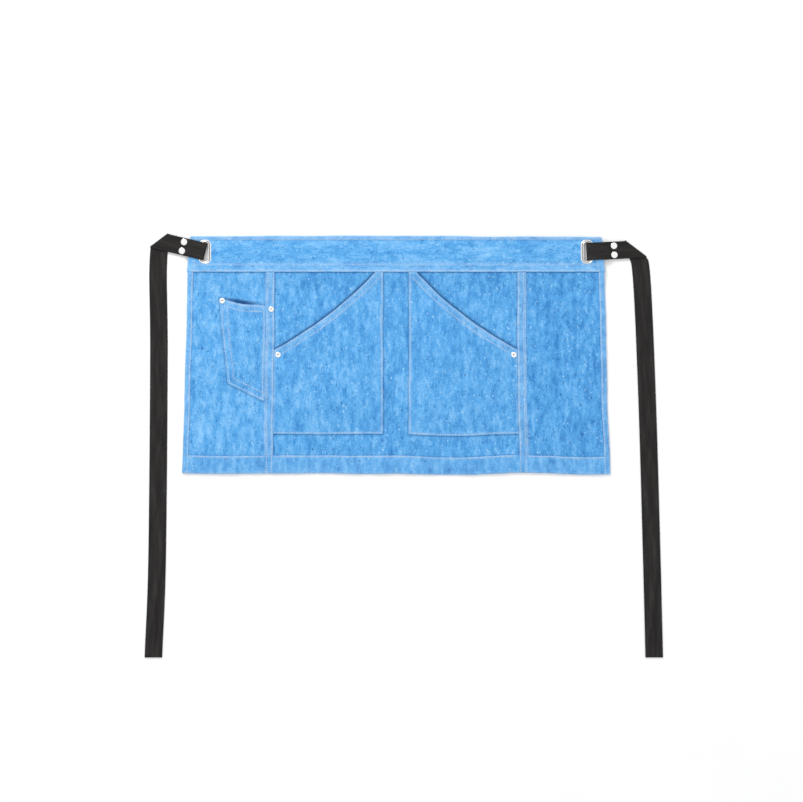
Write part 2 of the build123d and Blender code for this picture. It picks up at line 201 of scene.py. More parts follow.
def ramp(tree, factor, stops):
    """A colour for each value, from (position, colour) stops."""
    made = node(tree, "ShaderNodeValToRGB", {"Fac": factor})
    band = made.color_ramp
    while len(band.elements) < len(stops):
        band.elements.new(0.5)
    for element, (position, colour) in zip(band.elements, stops):
        element.position = position
        element.color = colour
    return made.outputs["Color"]


def blend_colours(tree, factor, first, second):
    """From the first colour to the second; the mix node's colours are its inputs 6 and 7."""
    inputs = {0: factor, 6: first, 7: second}
    return node(tree, "ShaderNodeMix", inputs, data_type="RGBA").outputs[2]


def sums(tree, *terms):
    """The weighted sum of some values, from (value, weight) pairs."""
    total = None
    for value, weight in terms:
        inputs = {0: value, 1: weight, 2: 0.0 if total is None else total}
        total = node(tree, "ShaderNodeMath", inputs, operation="MULTIPLY_ADD").outputs[0]
    return total


def grain(tree, where, scale, detail=3.0, roughness=0.6):
    inputs = {"Vector": where, "Scale": scale, "Detail": detail, "Roughness": roughness}
    return node(tree, "ShaderNodeTexNoise", inputs).outputs["Fac"]


def stretched(tree, where, scale):
    return node(tree, "ShaderNodeMapping", {"Vector": where, "Scale": scale}).outputs[0]


def object_space(tree):
    return node(tree, "ShaderNodeTexCoord").outputs["Object"]


def painted(tree, name, output="Fac"):
    """What is painted on the mesh under this name."""
    return node(tree, "ShaderNodeAttribute", attribute_name=name).outputs[output]


def add_bump(tree, shader, height, strength, distance):
    bump = node(tree, "ShaderNodeBump", {"Height": height, "Strength": strength, "Distance": distance})
    tree.links.new(bump.outputs[0], shader.inputs["Normal"])


def denim_material(name, lengthways, crossways, dark, middle, light, nep_light, worn, dark_speck_and_shade):
    """Washed twill: uneven yarns, blotches and specks, with painted light and shade of soft lengthwise
    folds, paler where wear is painted on the mesh and darker where shade is painted on it.
    """
    material, tree, shader = new_material(
        name, Roughness=0.92, Specular_IOR_Level=0.15, Sheen_Weight=0.08, Sheen_Roughness=0.6
    )
    where = object_space(tree)
    yarn = grain(tree, stretched(tree, where, lengthways), 520.0, 2.0)
    weft = grain(tree, stretched(tree, where, crossways), 600.0, 2.0)
    blotch = grain(tree, stretched(tree, where, tuple((a + 0.4) / 1.4 for a in lengthways)), 150.0, 3.0, 0.6)
    speck = grain(tree, where, 640.0, 3.0, 0.75)
    cloud = grain(tree, where, 34.0, 4.0, 0.62)
    # painted light and shade of soft lengthwise folds in the cloth, as lighter and darker streaks
    painted_fold_shading = grain(tree, stretched(tree, where, lengthways), 85.0, 2.0, 0.5)
    twill = node(
        tree,
        "ShaderNodeTexWave",
        {"Vector": where, "Scale": 620.0, "Distortion": 1.5, "Detail": 1.0},
        bands_direction="DIAGONAL",
    ).outputs["Fac"]
    tone = sums(
        tree, (yarn, 0.12), (weft, 0.06), (blotch, 0.28), (speck, 0.26), (cloud, 0.12), (painted_fold_shading, 0.16),
        (painted(tree, "tint"), 1.0),
    )
    colour = ramp(tree, tone, [(0.39, dark), (0.50, middle), (0.61, light)])
    nep = grain(tree, stretched(tree, where, tuple((a + 0.8) / 1.8 for a in lengthways)), 430.0, 2.0, 0.5)
    # this dark colour paints the cloth's own dark neps here, and painted shade further down
    colour = blend_colours(tree, ramp(tree, nep, [(0.63, black), (0.78, white)]), colour, dark_speck_and_shade)
    colour = blend_colours(tree, ramp(tree, nep, [(0.25, white), (0.36, black)]), colour, nep_light)
    patchy = sums(tree, (speck, 1.3), (cloud, 0.7))
    wear = {0: painted(tree, "wear"), 1: patchy}
    worn_here = node(tree, "ShaderNodeMath", wear, operation="MULTIPLY", use_clamp=True)
    colour = blend_colours(tree, worn_here.outputs[0], colour, worn)
    # painted shade: darker where the mesh's shade attribute is painted
    colour = blend_colours(tree, painted(tree, "shade"), colour, dark_speck_and_shade)
    tree.links.new(colour, shader.inputs["Base Color"])
    height = sums(tree, (yarn, 0.6), (weft, 0.3), (blotch, 1.6), (speck, 0.5), (twill, 0.12))
    add_bump(tree, shader, height, 0.6, 0.0008)
    return material


def webbing_material():
    """Charcoal cotton webbing: ribs along it, a fine cross weave and a soft uneven sheen, partly painted
    into its colour as lighter patches along it.
    """
    material, tree, shader = new_material(
        "webbing", Specular_IOR_Level=0.22, Sheen_Weight=0.05, Sheen_Roughness=0.5
    )
    where = painted(tree, "lay", "Vector")
    ribs = node(tree, "ShaderNodeTexWave", {"Vector": where, "Scale": 190.0}, bands_direction="X")
    weave = node(tree, "ShaderNodeTexWave", {"Vector": where, "Scale": 300.0}, bands_direction="Y")
    rib, cross = ribs.outputs["Fac"], weave.outputs["Fac"]
    sheen_patch = grain(tree, stretched(tree, where, (1.0, 0.12, 1.0)), 130.0, 3.0)
    fuzz = grain(tree, where, 1500.0, 2.0)
    # the lighter lengthwise patches in the colour are painted sheen; the same patches also lower the
    # roughness
    tone = sums(tree, (sheen_patch, 0.6), (fuzz, 0.25), (rib, 0.08), (cross, 0.07))
    stops = [(0.34, srgb(20, 18, 18)), (0.50, srgb(31, 29, 28)), (0.68, srgb(54, 51, 50))]
    tree.links.new(ramp(tree, tone, stops), shader.inputs["Base Color"])
    tree.links.new(sums(tree, (1.0, 0.78), (sheen_patch, -0.25), (fuzz, 0.1)), shader.inputs["Roughness"])
    add_bump(tree, shader, sums(tree, (rib, 0.5), (cross, 0.35), (fuzz, 0.4)), 0.4, 0.0003)
    return material


def plain_yarn_material(name, dark, light, scale, rough):
    """Sewing thread or plain woven stiffener: fine streaks of two near tones."""
    material, tree, shader = new_material(name, Roughness=rough, Specular_IOR_Level=0.25)
    where = object_space(tree)
    fibre = grain(tree, where, scale, 3.0)
    tree.links.new(ramp(tree, fibre, [(0.35, dark), (0.65, light)]), shader.inputs["Base Color"])
    add_bump(tree, shader, fibre, 0.3, 0.0002)
    return material


def nickel_material():
    """Satin nickel, dulled in faint clouds and darker where shade is painted on the mesh."""
    material, tree, shader = new_material("nickel", Metallic=1.0)
    where = object_space(tree)
    cloud = grain(tree, where, 420.0, 4.0)
    colour = ramp(tree, cloud, [(0.3, srgb(243, 243, 242)), (0.7, srgb(254, 254, 253))])
    colour = blend_colours(tree, painted(tree, "shade"), colour, srgb(70, 68, 66))
    tree.links.new(colour, shader.inputs["Base Color"])
    tree.links.new(sums(tree, (1.0, 0.22), (cloud, 0.16)), shader.inputs["Roughness"])
    add_bump(tree, shader, cloud, 0.1, 0.0002)
    return material


washed = {
    "dark": srgb(52, 125, 194),
    "middle": srgb(88, 165, 226),
    "light": srgb(136, 195, 242),
    "nep_light": srgb(168, 214, 246),
    "worn": srgb(156, 196, 232),
    # dark colour for the cloth's own dark neps and for painted shade
    "dark_speck_and_shade": srgb(32, 76, 128),
}
upright, level = (1.0, 0.22, 0.5), (0.22, 1.0, 0.5)
materials = {
    "denim": denim_material("denim", upright, level, **washed),
    "denim_across": denim_material("denim_across", level, upright, **washed),
    "webbing": webbing_material(),
    "thread": plain_yarn_material("thread", srgb(160, 184, 212), srgb(226, 224, 228), 420.0, 0.75),
    "interlining": plain_yarn_material("interlining", srgb(214, 212, 205), srgb(236, 234, 228), 600.0, 0.95),
    "nickel": nickel_material(),
}


# ---------------- surfaces

def smooth(values):
    """0 below 0, 1 above 1 and an even curve between them."""
    t = np.clip(values, 0, 1)
    return t * t * (3 - 2 * t)


def fading(distance, width):
    """1 on a line, and less and less over about the given width beside it."""
    return np.exp(-((distance / width) ** 2))


def ripple(points, size, seed):
    """Gentle uneven numbers from about -1 to 1 that change over the given size."""
    return np.array([noise.noise((x / size, y / size, seed)) for x, y in points])


def nearest(points, line):
    """How far each point is from a line of straight runs, and how far along the line that is."""
    best = np.full(len(points), 1e9)
    along = np.zeros(len(points))
    done = 0.0
    for first, second in zip(line, line[1:]):
        first, run = np.array(first), np.array(second) - np.array(first)
        length = hypot(*run)
        t = np.clip((points - first) @ run / length**2, 0, 1)
        gap = points - first - t[:, None] * run
        away = np.hypot(gap[:, 0], gap[:, 1])
        closer = away < best
        best = np.where(closer, away, best)
        along = np.where(closer, done + t * length, along)
        done += length
    return best, along


def marks_along(points):
    """How far along a line of points each of them is."""
    return np.concatenate([[0], np.cumsum(np.linalg.norm(np.diff(points, axis=0), axis=1))])


def places_at(distance, marks, points):
    return np.column_stack([np.interp(distance, marks, points[:, k]) for k in (0, 1)])


def edge_x(y, line):
    """Distance from the middle, at height y, of a leaning line."""
    return line[0] + (line[1] - line[0]) * (band_low - y) / (band_low - body_low)


def leaning(line, side, low, high, move=0.0):
    """A leaning line on one side as points, moved out from the middle by move."""
    return [(side * (edge_x(y, line) + move), y) for y in (low, high)]


def mouth_circle():
    """Centre and radius of the arc of a right-hand pocket's mouth."""
    a, b, c = (mouth_top, band_low), mouth_middle, (edge_x(mouth_low, pocket_line), mouth_low)
    rows = np.array([[b[0] - a[0], b[1] - a[1]], [c[0] - a[0], c[1] - a[1]]]) * 2
    squares = [b[0]**2 - a[0]**2 + b[1]**2 - a[1]**2, c[0]**2 - a[0]**2 + c[1]**2 - a[1]**2]
    centre = np.linalg.solve(rows, squares)
    return centre, hypot(centre[0] - a[0], centre[1] - a[1])


mouth_centre, mouth_radius = mouth_circle()


def mouth_y(x):
    """Height of the hand pocket's top edge at a distance from the middle."""
    inside = np.maximum(mouth_radius**2 - (x - mouth_centre[0])**2, 0)
    return np.where(x <= mouth_top, under_band, mouth_centre[1] - np.sqrt(inside))


def mouth_line(side, depth, count=24):
    """The mouth of a hand pocket as points, moved into the pocket by depth."""
    xs = np.linspace(mouth_top, edge_x(mouth_low, pocket_line), count)
    return [
        (side * (x - mouth_inward[0] * depth), float(mouth_y(x + 1e-6)) - mouth_inward[1] * depth)
        for x in xs
    ]


def hand_outline(side):
    """The sewn edges of a hand pocket."""
    far = edge_x(pocket_low, pocket_line)
    return [
        (side * mouth_top, band_low),
        (side * pocket_side, band_low),
        (side * pocket_side, pocket_low),
        (side * far, pocket_low),
        (side * edge_x(mouth_low, pocket_line), mouth_low),
    ]


def climb(points):
    """How far the cloth has climbed into the waistband."""
    return lift * smooth((points[:, 1] - ramp_start) / (band_low - ramp_start))


def calm(points):
    """1 where the cloth lies freely, 0 near the waistband and round each pocket rivet."""
    free = 1 - smooth((points[:, 1] - 0.085) / 0.05)
    for rivet in pocket_rivets:
        away = np.hypot(points[:, 0] - rivet[0], points[:, 1] - rivet[1])
        free = free * smooth((away - 0.006) / 0.018)
    return free


def wave(points):
    """Soft unevenness of the whole body on the table."""
    broad = 0.0009 * (0.55 + ripple(points, 0.085, 1.5)) + 0.00055 * ripple(points, 0.022, 7.5)
    upright = points * np.array([1.0, 0.45])
    creased = 0.0006 * (1 - np.abs(ripple(upright, 0.017, 8.5)) * 2)
    return np.maximum(broad + creased, 0) * calm(points)


def drift(points):
    """How far the cut and the washing have pulled each place sideways, as (x, y) rows."""
    free = 1 - smooth((points[:, 1] - 0.10) / 0.04)
    across = 0.0012 * ripple(points, 0.055, 3.5) + 0.0003 * ripple(points, 0.014, 4.5)
    up = 0.0030 * ripple(points, 0.070, 5.5) + 0.0003 * ripple(points, 0.014, 6.5)
    return np.stack([across * free, up * free], axis=1)


def stitched_in(points, rows):
    """The groove along each row of stitching and the small puckers beside it."""
    height = np.zeros(len(points))
    for index, row in enumerate(rows):
        away, along = nearest(points, row)
        close = away < 0.02
        places = zip(along[close] / pucker_length, away[close] / 0.03)
        pucker = np.zeros(len(points))
        pucker[close] = [noise.noise((a, index * 7.3, d)) for a, d in places]
        height -= groove_depth * fading(away, groove_width)
        height += pucker_height * pucker * fading(away, pucker_reach)
    return height


@dataclass
class Cover:
    """The upper face of a piece of cloth: its level, its own shape and the rows sewn through it."""
    level: float
    rows: list
    shape: object = None
    follows: bool = True

    def __call__(self, points):
        height = np.full(len(points), self.level)
        if self.follows:
            height = height + climb(points) + wave(points)
        if self.shape:
            height = height + self.shape(points)
        return height + stitched_in(points, self.rows)


# ---------------- mesh makers

pieces = {}
rim = np.array([0.00035, 0.0009, 0.0020])


def spread(length, step, *also):
    """Places from 0 to 1 along a length, closer together at both ends."""
    count = max(2, ceil((length - 2 * rim[-1]) / step))
    middle = np.linspace(rim[-1], length - rim[-1], count + 1)
    places = np.concatenate([[0], rim[:-1], middle, length - rim[1::-1], [length]]) / length
    return np.sort(np.unique(np.concatenate([places, also])))


def finish_mesh(name, verts, faces, slot_name, body, replaced, attributes, look=None):
    """Make the object, smooth it, attach it to its body and hide the frame nodes it replaces."""
    mesh = bpy.data.meshes.new(name)
    mesh.from_pydata(verts, [], faces)
    mesh.update()
    mesh.polygons.foreach_set("use_smooth", [True] * len(mesh.polygons))
    for key, values in attributes.items():
        values = np.asarray(values, np.float32)
        if values.ndim == 1:
            mesh.attributes.new(key, "FLOAT", "POINT").data.foreach_set("value", values)
        else:
            mesh.attributes.new(key, "FLOAT_VECTOR", "POINT").data.foreach_set("vector", values.ravel())
    mesh.materials.append(materials[look or slot_name])
    piece = put_in_scene(name, mesh)
    if body:
        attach(piece, body)
    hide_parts(*replaced)
    return piece


def closed_grid(name, upper, lower, kept, **rest):
    """A closed sheet from an upper and a lower grid of points; kept says which of its cells are cloth."""
    down, across = upper.shape[:2]
    index = np.arange(down * across).reshape(down, across)
    under = index + down * across
    around = np.pad(kept, 1)
    faces = []
    for i, j in zip(*np.nonzero(kept)):
        a, b, c, d = index[i, j], index[i, j + 1], index[i + 1, j + 1], index[i + 1, j]
        e, f, g, h = under[i, j], under[i, j + 1], under[i + 1, j + 1], under[i + 1, j]
        faces.append((a, b, c, d))
        faces.append((h, g, f, e))
        if not around[i, j + 1]:
            faces.append((e, f, b, a))
        if not around[i + 1, j + 2]:
            faces.append((f, g, c, b))
        if not around[i + 2, j + 1]:
            faces.append((g, h, d, c))
        if not around[i + 1, j]:
            faces.append((h, e, a, d))
    used = np.unique(np.array(faces))
    new_index = np.full(2 * down * across, -1)
    new_index[used] = np.arange(len(used))
    verts = np.concatenate([upper.reshape(-1, 3), lower.reshape(-1, 3)])[used]
    rest["attributes"] = {
        key: np.concatenate([values, values])[used] for key, values in rest["attributes"].items()
    }
    return finish_mesh(name, verts.tolist(), new_index[np.array(faces)].tolist(), **rest)


def cloth(name, outline, size, cover, step=0.0018, extra=(), thick=None, paint=None, hole=None,
          slot_name="denim", look=None, tint=0.0):
    """A sheet of cloth whose outline turns places from 0 to 1 across and up into points of the apron.

    It stands for the frame's node of the same name.
    """
    across, up = spread(size[0], step, *extra), spread(size[1], step)
    s, t = np.meshgrid(across, up)
    shape = s.shape
    s, t = s.ravel(), t.ravel()
    flat = outline(s, t)
    height = cover(flat)
    inside = np.minimum(np.minimum(s, 1 - s) * size[0], np.minimum(t, 1 - t) * size[1])
    depth = np.full(len(flat), denim) if thick is None else thick(flat, s, t)
    round_off = 1 - np.sqrt(np.clip(1 - (1 - np.clip(inside / edge_round, 0, 1)) ** 2, 0, 1))
    moved = flat + drift(flat)
    upper = np.column_stack([moved, height - 0.42 * depth * round_off])
    lower = np.column_stack([moved, np.maximum(height - depth * (1 - 0.3 * round_off), 0)])
    kept = np.ones((shape[0] - 1, shape[1] - 1), bool)
    if hole:
        middle = moved.reshape(*shape, 2)
        middle = (middle[1:, 1:] + middle[:-1, :-1]) / 2
        kept = ~hole(middle)
    away = nearest_row(flat, cover.rows)
    wear = 0.45 * fading(inside, 0.0022) + 0.22 * fading(away, 0.0026)
    more_wear, shade = paint(flat) if paint else (0, 0)
    uneven = 0.75 + 0.6 * ripple(flat, 0.009, 9.5)
    pieces[name] = closed_grid(
        f"{name}_cloth",
        upper.reshape(*shape, 3),
        lower.reshape(*shape, 3),
        kept,
        slot_name=slot_name,
        look=look,
        body="apron",
        replaced=[name],
        attributes={
            "wear": np.clip((wear + more_wear) * uneven, 0, 1),
            "shade": np.clip(np.full(len(flat), shade, float), 0, 1),
            "tint": np.full(len(flat), tint),
        },
    )


def nearest_row(points, rows):
    """How far each point is from the nearest row of stitching."""
    best = np.full(len(points), 1.0)
    for row in rows:
        best = np.minimum(best, nearest(points, row)[0])
    return best


def between_lines(left, right, low, high):
    """An outline between two leaning lines, given as x at the waistband and at the hem."""
    def outline(s, t):
        y = low + (high - low) * t
        from_x, to_x = edge_x(y, left), edge_x(y, right)
        return np.column_stack([from_x + (to_x - from_x) * s, y])
    return outline


def on_side(line, side):
    return (side * line[0], side * line[1])


def moved_line(line, distance):
    return (line[0] + distance, line[1] + distance)


def strip_on(side, inner, outer, low, high):
    """An outline between two leaning lines on one side of the apron."""
    if side < 0:
        inner, outer = on_side(outer, side), on_side(inner, side)
    return between_lines(inner, outer, low, high)


def stitches(name, rows, cover, nodes, skip=()):
    """Separate stitches along rows, each a short rounded bridge of thread."""
    # each ring of a stitch: its place along the stitch, its thickness and how far it arches up
    rings = [(-0.5, 0.2, 0.0), (-0.4, 0.8, 0.35), (0.0, 1.0, 1.0), (0.4, 0.8, 0.35), (0.5, 0.2, 0.0)]
    facets = 6
    starts, ends = [], []
    for row in rows:
        marks = marks_along(row)
        count = int(marks[-1] / (stitch + stitch_gap))
        first = np.arange(count) * marks[-1] / count
        starts.append(places_at(first, marks, np.array(row)))
        ends.append(places_at(first + stitch, marks, np.array(row)))
    start, end = np.concatenate(starts), np.concatenate(ends)
    middle = (start + end) / 2
    keep = np.ones(len(start), bool)
    for x, y, radius in skip:
        keep &= np.hypot(middle[:, 0] - x, middle[:, 1] - y) > radius
    start, end = start[keep], end[keep]
    low, high = cover(start), cover(end)
    start = np.column_stack([start + drift(start), low])
    end = np.column_stack([end + drift(end), high])
    run = end - start
    length = np.linalg.norm(run, axis=1)[:, None]
    forward = run / length
    beside = np.cross([0, 0, 1], forward)
    beside /= np.linalg.norm(beside, axis=1)[:, None]
    upward = np.cross(forward, beside)
    faces = []
    block = []
    for place, size, arch in rings:
        for k in range(facets):
            turn = 2 * pi * k / facets
            point = (start + end) / 2 + forward * length * place
            point = point + beside * thread_radius * size * cos(turn)
            point = point + upward * (thread_radius * 0.75 * size * sin(turn) + 0.00012 * arch)
            block.append(point)
    block = np.stack(block, axis=1)
    verts = block.reshape(-1, 3)
    for n in range(len(start)):
        base = n * len(rings) * facets
        for ring in range(len(rings) - 1):
            for k in range(facets):
                a, b = base + ring * facets + k, base + ring * facets + (k + 1) % facets
                faces.append((a, b, b + facets, a + facets))
        faces.append(tuple(base + k for k in reversed(range(facets))))
        faces.append(tuple(base + (len(rings) - 1) * facets + k for k in range(facets)))
    pieces[name] = finish_mesh(name, verts.tolist(), faces, "thread", "apron", nodes, {})


def turned_metal(name, profile, places, nodes, painted_shade_to=0.0, turns=40):
    """Round metal caps from a profile of (radius, height) points, from the axis out, up and back, with
    painted shade in the middle of each cap's top when a radius for it is given.
    """
    verts, faces, shade = [], [], []
    for x, y, z in places:
        base = len(verts)
        inner = profile[1:-1]
        verts.append((x, y, z + profile[0][1]))
        shade.append(0.0)
        for radius, height in inner:
            for k in range(turns):
                turn = 2 * pi * k / turns
                verts.append((x + radius * cos(turn), y + radius * sin(turn), z + height))
                shade.append(1.0 if radius < painted_shade_to and height > 0 else 0.0)
        verts.append((x, y, z + profile[-1][1]))
        shade.append(1.0 if painted_shade_to else 0.0)
        last = base + 1 + len(inner) * turns
        for k in range(turns):
            after = (k + 1) % turns
            faces.append((base, base + 1 + after, base + 1 + k))
            for ring in range(len(inner) - 1):
                a = base + 1 + ring * turns
                faces.append((a + k, a + after, a + turns + after, a + turns + k))
            top = base + 1 + (len(inner) - 1) * turns
            faces.append((last, top + k, top + after))
    return finish_mesh(name, verts, faces, "nickel", "apron", nodes, {"shade": shade})


# ---------------- rows of stitching

half_band = half_band_top - 0.0015
end_rows = [
    [(side * (half_band_low - band_end_row), band_low), (side * (half_band_top - band_end_row), band_high)]
    for side in (-1, 1)
]
rows_of = {
    "band": [[(-half_band, y), (half_band, y)] for y in band_rows] + end_rows,
    "hem": [
        [(-hem_stops[0], hem_row), (hem_stops[0], hem_row)],
        [(-hem_stops[2], hem_row), (-hem_stops[1], hem_row)],
        [(hem_stops[1], hem_row), (hem_stops[2], hem_row)],
    ],
}
for side, name in sides:
    rows_of[f"{name} side"] = [leaning(side_line, side, body_low + 0.001, under_band, -side_row)]
    rows_of[f"{name} seam"] = [
        leaning(seam_line, side, body_low + 0.001, under_band, away) for away in seam_rows
    ]
    inner_x = side * (pocket_side + edge_row)
    bottom_y = pocket_low + edge_row
    rows_of[f"{name} pocket"] = [
        [(inner_x, under_band), (inner_x, bottom_y), (side * pocket_row_end, bottom_y)],
        mouth_line(side, mouth_rows[0]),
        mouth_line(side, mouth_rows[1]),
    ]


def phone_mouth(s):
    """x and y of the phone pocket's sagging mouth, at places from 0 to 1 along it."""
    (x0, y0), (x1, y1) = phone_top
    return x0 + (x1 - x0) * s, y0 + (y1 - y0) * s - phone_gape * np.sin(s * pi) ** 2


def phone_mouth_row(depth, count=16):
    """A row beside the phone pocket's mouth."""
    x, y = phone_mouth(np.linspace(0.05, 0.965, count))
    return list(zip(x, y - depth))


rows_of["phone"] = [
    phone_mouth_row(0.0022),
    phone_mouth_row(0.0098),
    [(-0.2476, 0.1052), (-0.2466, 0.068), (-0.2379, -0.0128), (-0.1910, -0.0370), (-0.1901, -0.0372),
     (-0.1887, 0.0949)],
    [(-0.2412, 0.0970), (-0.2391, 0.068), (-0.2309, -0.0080), (-0.1893, -0.0290)],
]


# ---------------- apron's body

def painted_shade_beside_pockets(points):
    """Painted shade: a dark line just outside the pockets, below the waistband, beside the felled seams and
    side hems and under the hem's top edge, and inside the phone pocket's gaping mouth.
    """
    # painted shade along edges that lie over the body cloth
    shade_lines = [(phone_top[::-1] + phone_low[::-1] + phone_top[:1], 0.5, 0.0015)]
    for side, _ in sides:
        shade_lines += [
            (hand_outline(side)[1:4], 0.55, 0.0014),
            (mouth_line(side, 0), 0.95, 0.0026),
            (leaning(seam_line, side, body_low, under_band), 0.45, 0.0016),
            (leaning(side_line, side, body_low, under_band, -side_hem), 0.10, 0.0016),
        ]
    # painted shade inside the phone pocket's gaping mouth
    away, along = nearest(points, phone_top)
    gape = np.clip(np.sin(np.clip(along / 0.0645, 0, 1) * pi), 0, 1)
    shade = gape * smooth((0.0042 - away) / 0.0024)
    for line, amount, width in shade_lines:
        shade = np.maximum(shade, amount * fading(nearest(points, line)[0], width))
    # painted shade under the waistband's lower edge
    shade = np.maximum(shade, 0.5 * fading(points[:, 1] - band_low, 0.0015))
    # painted shade under the hem's top edge
    return 0, np.maximum(shade, 0.35 * fading(points[:, 1] - hem_top, 0.0014))


def strip_wear(amount):
    """Even extra wear over a narrow doubled strip."""
    return lambda points: (amount, 0)


bare_cover = Cover(denim, [])
cloth(
    "centre_panel", between_lines(on_side(lap_line, -1), lap_line, body_low + turned, body_high),
    (0.371, 0.299), bare_cover, paint=painted_shade_beside_pockets, tint=-0.008,
)
for side, name in sides:
    cloth(
        f"{name}_side_panel",
        strip_on(side, lap_line, moved_line(side_line, -turned), body_low + turned, body_high),
        (0.115, 0.299), bare_cover, paint=painted_shade_beside_pockets, tint=-0.003 - 0.022 * side,
    )

doubled = Cover(2 * denim, rows_of["hem"] + [
    row for name in ("left", "right") for row in rows_of[f"{name} seam"] + rows_of[f"{name} side"]
])


def at_ends(s):
    """Whether a place is on the cloth that goes round a wide sheet's ends."""
    return (s < end_share) | (s > 1 - end_share)


def folded_below(points, s, t):
    """The hem's cloth goes round its lower and outer edges down to the table."""
    return np.where((points[:, 1] < body_low + turned) | at_ends(s), 1.9 * denim, denim)


cloth(
    "bottom_hem", between_lines(on_side(side_line, -1), side_line, body_low, hem_top),
    (0.610, 0.025), doubled, step=0.0015, thick=folded_below, paint=strip_wear(0.12),
)
for side, name in sides:
    def folded_out(points, s, t, side=side):
        """The side hem's cloth goes round its outer edge."""
        out = s if side > 0 else 1 - s
        return np.where(out > 0.885, 1.9 * denim, denim)

    cloth(
        f"{name}_side_hem",
        strip_on(side, moved_line(side_line, -side_hem), side_line, hem_top, under_band),
        (side_hem, 0.2628), doubled, step=0.0013, thick=folded_out,
        paint=strip_wear(0.14), tint=-0.005 - 0.015 * side,
    )
    cloth(
        f"{name}_felled_seam", strip_on(side, seam_line, fold_line, hem_top, under_band),
        (0.0128, 0.2628), doubled, step=0.0013, paint=strip_wear(0.20),
    )


# ---------------- waistband

def band_shape(points):
    """The band's lower edge lies over the body, and its top edge is full and slightly uneven."""
    y = points[:, 1]
    low_edge = 0.0004 * (1 - smooth((y - band_low) / 0.004))
    swell = 0.0005 * smooth((y - 0.156) / 0.008) * smooth((0.1895 - y) / 0.006)
    uneven = 0.00028 * ripple(points, 0.018, 11.5)
    near_eyelet = np.hypot(np.abs(points[:, 0]) - eyelet[0], (y - eyelet[1]) * 0.6)
    return (low_edge + swell + uneven) * smooth((near_eyelet - 0.010) / 0.012)


def in_eyelet(points):
    """Where the eyelets' openings are cut."""
    width, height, radius = eyelet_cut
    x = np.abs(np.abs(points[..., 0]) - eyelet[0]) - width / 2 + radius
    y = np.abs(points[..., 1] - eyelet[1]) - height / 2 + radius
    return np.hypot(np.maximum(x, 0), np.maximum(y, 0)) < radius


def band_outline(margin, low):
    """An outline of one layer of the waistband, with its edges in by margin."""
    def outline(s, t):
        y = low + (band_high - margin - low) * t
        lean = (y - band_low) / (band_high - band_low)
        half = half_band_low - margin + (half_band_top - half_band_low) * lean
        x = (2 * s - 1) * half
        top_only = smooth((y - 0.186) / 0.008)
        sway = (0.0016 * ripple(np.column_stack([x, y * 0]), 0.075, 12.5) - 0.0004) * top_only
        return np.column_stack([x, y + sway])
    return outline


def folded_band(points, s, t):
    """The front's cloth goes round the band's top edge and its ends to the facing."""
    return np.where((points[:, 1] > band_high - turned) | at_ends(s), 2.9 * denim, denim)


def band_wear_and_shade(points):
    """Paler between the two lower rows and above the top row, with painted shade darkening the groove beside
    the top row.
    """
    y = points[:, 1]
    between = smooth((y - 0.1455) / 0.0015) * smooth((0.1560 - y) / 0.0015)
    above = smooth((y - 0.1912) / 0.0012)
    # real wear first, then painted shade in the groove
    return 0.16 * between + 0.20 * above, 0.25 * fading(y - 0.1893, 0.0012)


band_cover = Cover(band_top, rows_of["band"], band_shape, follows=False)
cloth(
    "waistband_front", band_outline(0, band_low), (0.590, 0.051), band_cover, step=0.0014,
    thick=folded_band, paint=band_wear_and_shade, hole=in_eyelet, look="denim_across", tint=0.016,
)
cloth(
    "waistband_interlining", band_outline(0.0015, body_high + 0.0005), (0.587, 0.037),
    Cover(lift + denim, [], follows=False), step=0.0016, hole=in_eyelet, slot_name="interlining",
)
cloth(
    "waistband_facing", band_outline(turned, band_low), (0.588, 0.050),
    Cover(facing_low + denim, [], follows=False), step=0.0016, hole=in_eyelet,
)
stitches(
    "waistband_rows", rows_of["band"], band_cover, ["waistband_stitching"],
    skip=[(side * eyelet[0], eyelet[1], 0.0175) for side, _ in sides],
)


# ---------------- pockets

def hand_shape(side):
    """A hand pocket's cloth stands off the body away from its sewn edges."""
    sewn = hand_outline(side)

    def shape(points):
        away = nearest(points, sewn)[0]
        uneven = 1 + 0.35 * ripple(points, 0.06, 21.5 + side)
        return hand_belly * smooth(away / 0.050) * uneven
    return shape


def hand_pocket_outline(side):
    """From a hand pocket's bottom edge up to its mouth and the waistband."""
    def outline(s, t):
        s = s if side > 0 else 1 - s
        guess = pocket_side + s * (edge_x(mouth_low, pocket_line) - pocket_side)
        y = pocket_low + t * (mouth_y(guess) - pocket_low)
        x = pocket_side + s * (edge_x(y, pocket_line) - pocket_side)
        return np.column_stack([side * x, y])
    return outline


def hand_wear(side):
    """Paler between the two rows beside the mouth."""
    middle = mouth_line(side, (mouth_rows[0] + mouth_rows[1]) / 2)

    def paint(points):
        away = nearest(points, middle)[0]
        edge = nearest(points, mouth_line(side, 0))[0]
        return 0.18 * smooth((0.0048 - away) / 0.0016) + 0.15 * fading(edge, 0.0016), 0
    return paint


kink = (mouth_top - pocket_side) / (edge_x(mouth_low, pocket_line) - pocket_side)
for side, name in sides:
    cover = Cover(2 * denim, rows_of[f"{name} pocket"], hand_shape(side))
    cloth(
        f"{name}_hand_pocket", hand_pocket_outline(side), (0.157, 0.232), cover,
        extra=(kink if side > 0 else 1 - kink,), paint=hand_wear(side),
    )
    stitches(
        f"{name}_pocket_rows", rows_of[f"{name} pocket"], cover,
        ["hand_pocket_stitching"] if side < 0 else [],
        skip=[(*pocket_rivets[(side + 1) // 2], rivet_clear)],
    )


